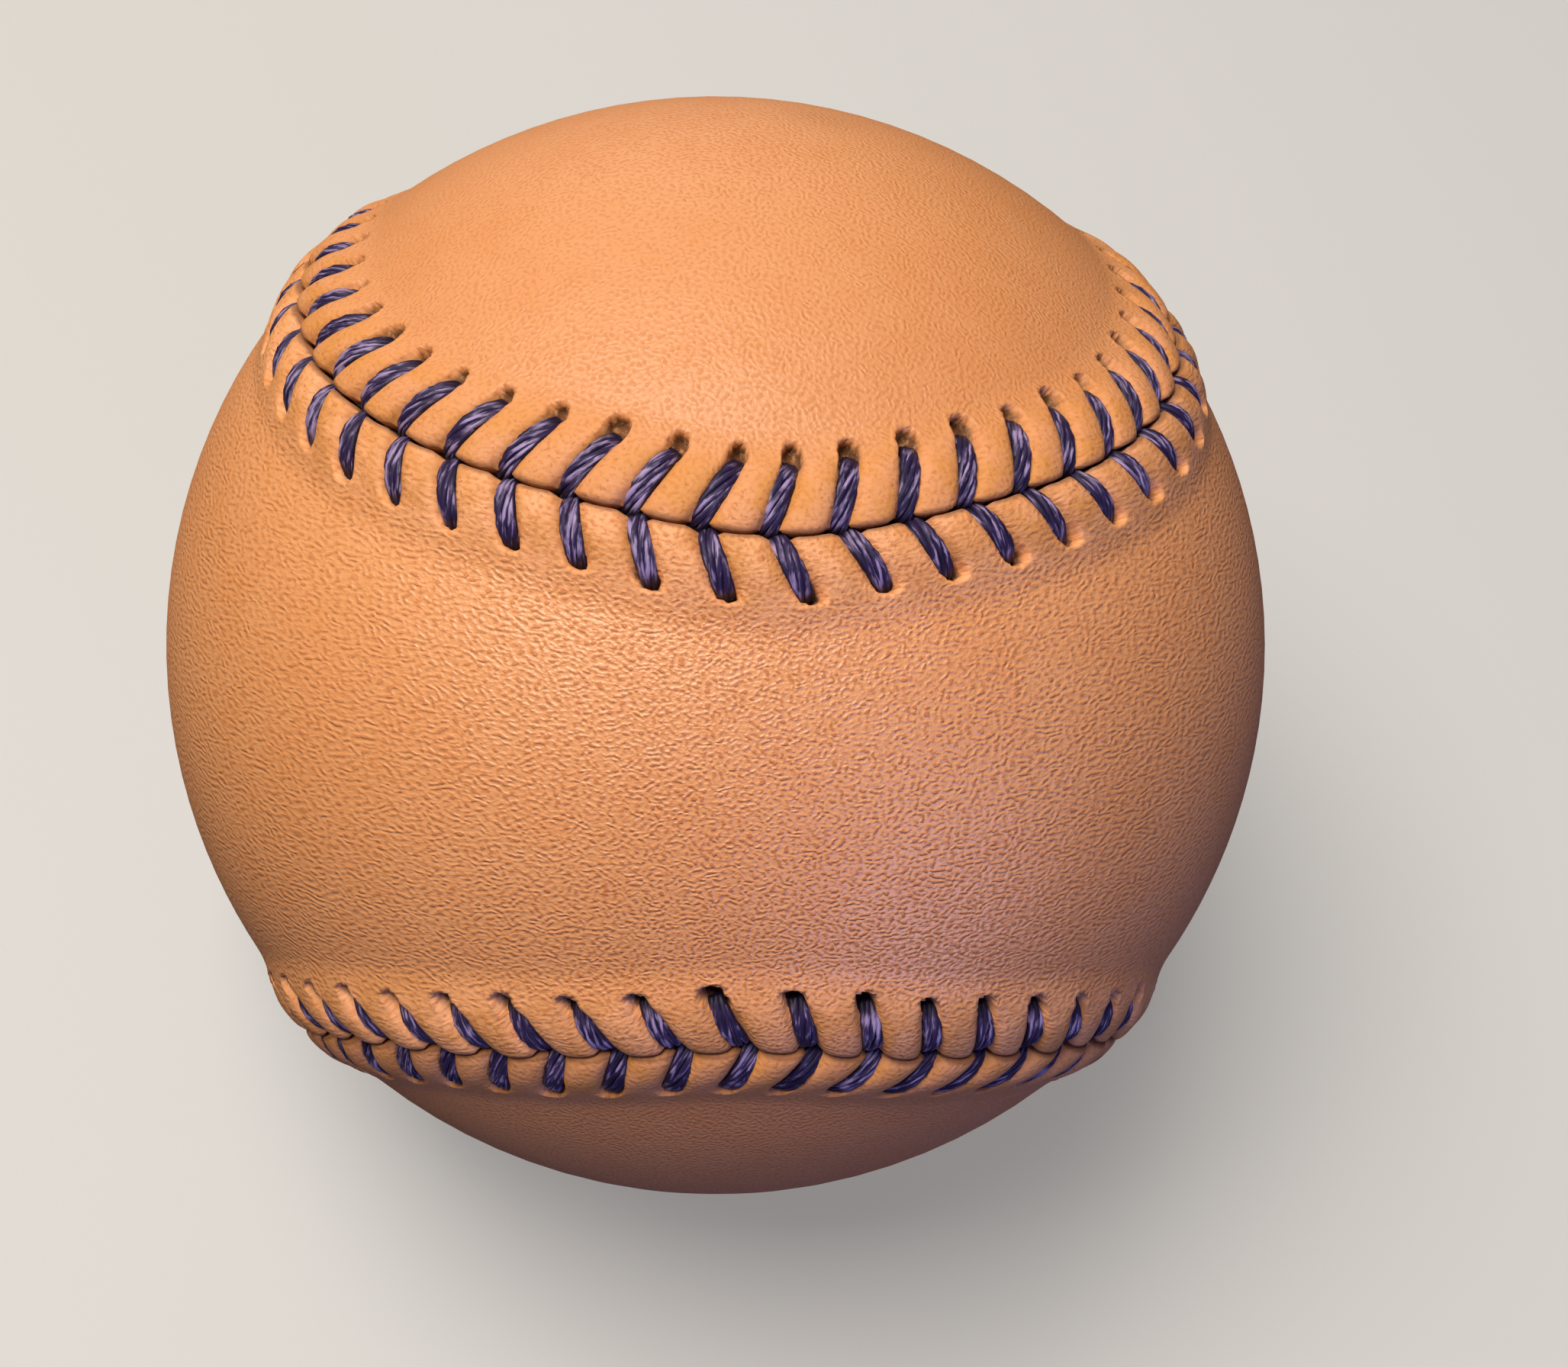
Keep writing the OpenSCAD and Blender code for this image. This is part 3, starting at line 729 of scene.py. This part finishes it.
def lacing(name, node, side):
    """All stitches of one side. A stitch is an arch of thread, squarer than half an ellipse. Its strands
    wind round the arch's line in a flat ellipse, as the thread is pressed flat where it is drawn tight."""
    number = np.arange(stitch_count)
    start = number - side * pair_offset / 2 / stitch_pitch
    lean = stitch_lean * hand_made(side, *leg_lean_hand) / stitch_pitch
    gap_end = cover_way(start, side * leg_inset + seam_sway(start)) * (ball_r - leg_dive)
    reach, drawn = reach_of(start, side)
    reach = reach + leg_beyond + leg_drawn[node] * np.maximum(-drawn, 0)
    hole_end = cover_way(start - lean * reach / stitch_reach, side * reach) * (ball_r - leg_dive)
    middle = (gap_end + hole_end) / 2
    out, along = unit(middle), unit(hole_end - gap_end)
    axis = np.cross(out, along)
    rise = ball_r + leg_rise * hand_made(side, *leg_rise_hand) - np.linalg.norm(middle, axis=1)
    run = np.linalg.norm(hole_end - gap_end, axis=1) / 2

    # the arch's line and the directions across it, in the order stitch, ring
    sweep = np.linspace(0, np.pi, leg_rings)
    ahead = -np.sign(np.cos(sweep)) * np.abs(np.cos(sweep)) ** leg_crowding
    share = (1 + ahead) / 2
    aloft = np.sin(np.pi * share ** leg_forward).clip(0) ** leg_square
    narrow = (1 - leg_taper * ease(share, leg_taper_from, 1.0))[:, None]
    line = middle[:, None] + (run[:, None] * ahead)[..., None] * along[:, None]
    line = line + (rise[:, None] * aloft)[..., None] * out[:, None]
    heading = unit(np.gradient(line, axis=1))
    upward = np.cross(axis[:, None], heading)
    upward = upward * np.sign((upward * out[:, None]).sum(-1).mean())
    steps = np.linalg.norm(np.diff(line, axis=1), axis=2)
    length = np.concatenate([np.zeros((stitch_count, 1)), np.cumsum(steps, axis=1)], 1)[:, None, :, None]

    # the strands round it, in the order stitch, strand, ring, side
    strand = np.arange(strands)[:, None, None]
    lay = 2 * np.pi * (strand / strands + length / strand_turn)
    lay = lay + np.random.default_rng(lay_seed + side).uniform(0, 2 * np.pi, (stitch_count, 1, 1, 1))
    turn = 2 * np.pi * np.arange(strand_sides) / strand_sides
    wide = (thread_w / 2 - strand_r) * np.cos(lay) * narrow + strand_r * np.cos(turn)
    high = (thread_t / 2 - strand_r) * np.sin(lay) * narrow + strand_r * np.sin(turn)
    places = line[:, None, :, None] + wide[..., None] * axis[:, None, None, None]
    places = in_its_lie(places + high[..., None] * upward[:, None, :, None])

    # faces round each strand, and two at each end
    one = np.arange(leg_rings * strand_sides).reshape(leg_rings, strand_sides)
    beside = np.roll(one, -1, axis=1)
    tube = np.stack([one[:-1], beside[:-1], beside[1:], one[1:]], -1).reshape(-1, 4)
    first, last = one[0], one[-1]
    ends = np.array([first[[3, 2, 1, 0]], first[[5, 4, 3, 0]], last[[0, 1, 2, 3]], last[[0, 3, 4, 5]]])
    corners = np.concatenate([tube, ends])
    strand_starts = np.arange(stitch_count * strands)[:, None, None] * one.size
    piece, _ = new_piece(name, places.reshape(-1, 3), (strand_starts + corners).reshape(-1, 4))

    # along and round each strand, each strand's outward top for a painted highlight, the thread's flanks
    # and the arch's low ends for painted shade, and a tone for each stitch
    held = {"along": length + number[:, None, None, None] * stitch_apart,
            "around": turn / (2 * np.pi) + strand * strand_apart,
            "crown_highlight": np.sin(turn),
            "flank_shade": np.abs(wide) / (thread_w / 2),
            "tucked_shade": 1 - aloft[:, None],
            "stitch_tone": hand_made(side, *leg_tone_hand)[:, None, None, None] / 2}
    for mark, value in held.items():
        made = piece.data.attributes.new(mark, "FLOAT", "POINT")
        value = np.broadcast_to(value, places.shape[:-1])
        made.data.foreach_set("value", value.astype(np.float32).ravel())
    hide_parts(node)
    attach(piece, "root")
    return piece


waxed_thread, tree, shader = new_material("waxed_thread", Specular_IOR_Level=0.3, Sheen_Weight=0.06,
                                          Sheen_Roughness=0.35, Sheen_Tint=wax_sheen)
along, around, crown_highlight, flank_shade, tucked_shade, stitch_tone = [
    place(tree, "ShaderNodeAttribute", attribute_name=mark).outputs["Fac"]
    for mark in ("along", "around", "crown_highlight", "flank_shade", "tucked_shade", "stitch_tone")]
fibre_x = reckon(tree, "MULTIPLY", along, fibre_along)
fibre_y = reckon(tree, "MULTIPLY", around, fibre_around)
fibre_at = place(tree, "ShaderNodeCombineXYZ", {"X": fibre_x, "Y": fibre_y}).outputs[0]
fibre = noise(tree, fibre_at, 1.0, 4.0)
# paler fibres, and a painted highlight along the outward top of each strand
worn_and_highlit = reckon(tree, "MULTIPLY_ADD", crown_highlight, 0.10, fibre)
worn_and_highlit = reckon(tree, "MULTIPLY_ADD", stitch_tone, 0.08, worn_and_highlit)
dye_and_painted_light = mix_colour(tree, spread(tree, worn_and_highlit, 0.60, 0.77), indigo, lavender_fibre_and_highlight)
# painted shade on the strands' undersides among darker fibres, then along the thread's flanks and at the
# arch's low ends
dye_and_painted_light = mix_colour(tree, spread(tree, worn_and_highlit, 0.56, 0.40), dye_and_painted_light, indigo_dark_and_shade)
dye_and_painted_light = mix_colour(tree, spread(tree, flank_shade, 0.62, 0.95, 0.0, 0.85), dye_and_painted_light, indigo_dark_and_shade)
dye_and_painted_light = mix_colour(tree, spread(tree, tucked_shade, 0.25, 0.80), dye_and_painted_light, indigo_dark_and_shade)
give_look(tree, shader, dye_and_painted_light, spread(tree, fibre, 0.3, 0.7, 0.62, 0.42), fibre, 0.6, thread_relief)
dress(lacing("front_lacing", "front_stitches", FRONT), waxed_thread)
dress(lacing("back_lacing", "back_stitches", BACK), waxed_thread)

# Floor, lights and camera
# A plain pale floor under the flat on which the ball rests. One wide soft light hangs above to the left,
# a cool one stands low in front to the right for the leather's sheen, and a weak one stands low behind.

# the camera sees the floor and the room pale, and the ball gets only a little light from them
floor_half = 3.0
floor_pale = (0.40, 0.39, 0.37, 1)
floor_bounce = (0.040, 0.034, 0.040, 1)
floor_glow = (0.25, 0.24, 0.225, 1)
no_glow = (0, 0, 0, 1)
mesh = bpy.data.meshes.new("floor")
floor_corners = [(x * floor_half, y * floor_half, table_z) for x, y in ((-1, -1), (1, -1), (1, 1), (-1, 1))]
mesh.from_pydata(floor_corners, [], [(0, 1, 2, 3)])
floor = bpy.data.objects.new("floor", mesh)
bpy.context.scene.collection.objects.link(floor)
floor_material, tree, shader = new_material("pale_floor", Roughness=0.6, Specular_IOR_Level=0.2,
                                            Emission_Strength=1.0)
seen = place(tree, "ShaderNodeLightPath").outputs["Is Camera Ray"]
tree.links.new(mix_colour(tree, seen, floor_bounce, floor_pale), shader.inputs["Base Color"])
tree.links.new(mix_colour(tree, seen, no_glow, floor_glow), shader.inputs["Emission Color"])
dress(floor, floor_material)


def soft_light(name, place_at, size, power, colour):
    """A square area light that faces the ball."""
    lamp = bpy.data.lights.new(name, "AREA")
    lamp.size = size
    lamp.energy = power
    lamp.color = colour
    holder = bpy.data.objects.new(name, lamp)
    holder.location = place_at
    spot = np.array(place_at)
    tilt = math.acos(spot[2] / np.linalg.norm(spot))
    holder.rotation_euler = (tilt, 0, math.atan2(spot[0], -spot[1]))
    bpy.context.scene.collection.objects.link(holder)


soft_light("main", (-0.27, -0.05, 0.75), 0.50, 8.8, (1.0, 0.96, 0.90))
soft_light("cool_front", (0.90, -1.02, 0.14), 0.36, 7.2, (0.29, 0.36, 1.0))
soft_light("low_back", (-0.30, 1.0, 0.22), 0.50, 1.4, (1.0, 0.95, 0.88))

room_dim = (0.029, 0.024, 0.027, 1)
room_pale = (0.30, 0.29, 0.275, 1)
world = bpy.data.worlds.new("room")
world.use_nodes = True
tree = world.node_tree
seen = place(tree, "ShaderNodeLightPath").outputs["Is Camera Ray"]
tree.links.new(mix_colour(tree, seen, room_dim, room_pale), tree.nodes["Background"].inputs["Color"])
bpy.context.scene.world = world

photo_w = 2055
focal_px = 3008
camera_distance = 4.3 * ball_r
camera_height = math.radians(56.08)
camera_tilt, camera_roll, camera_turn = np.radians([32.515, -8.205, 9.403])
lens = bpy.data.cameras.new("camera")
lens.sensor_fit = "HORIZONTAL"
lens.sensor_width = 36
lens.lens = lens.sensor_width * focal_px / photo_w
lens.clip_start = 0.01
camera = bpy.data.objects.new("camera", lens)
camera.location = (0, -camera_distance * math.cos(camera_height), camera_distance * math.sin(camera_height))
camera.rotation_euler = (camera_tilt, camera_roll, camera_turn)
bpy.context.scene.collection.objects.link(camera)
bpy.context.scene.camera = camera
bpy.context.scene.view_settings.view_transform = "Standard"
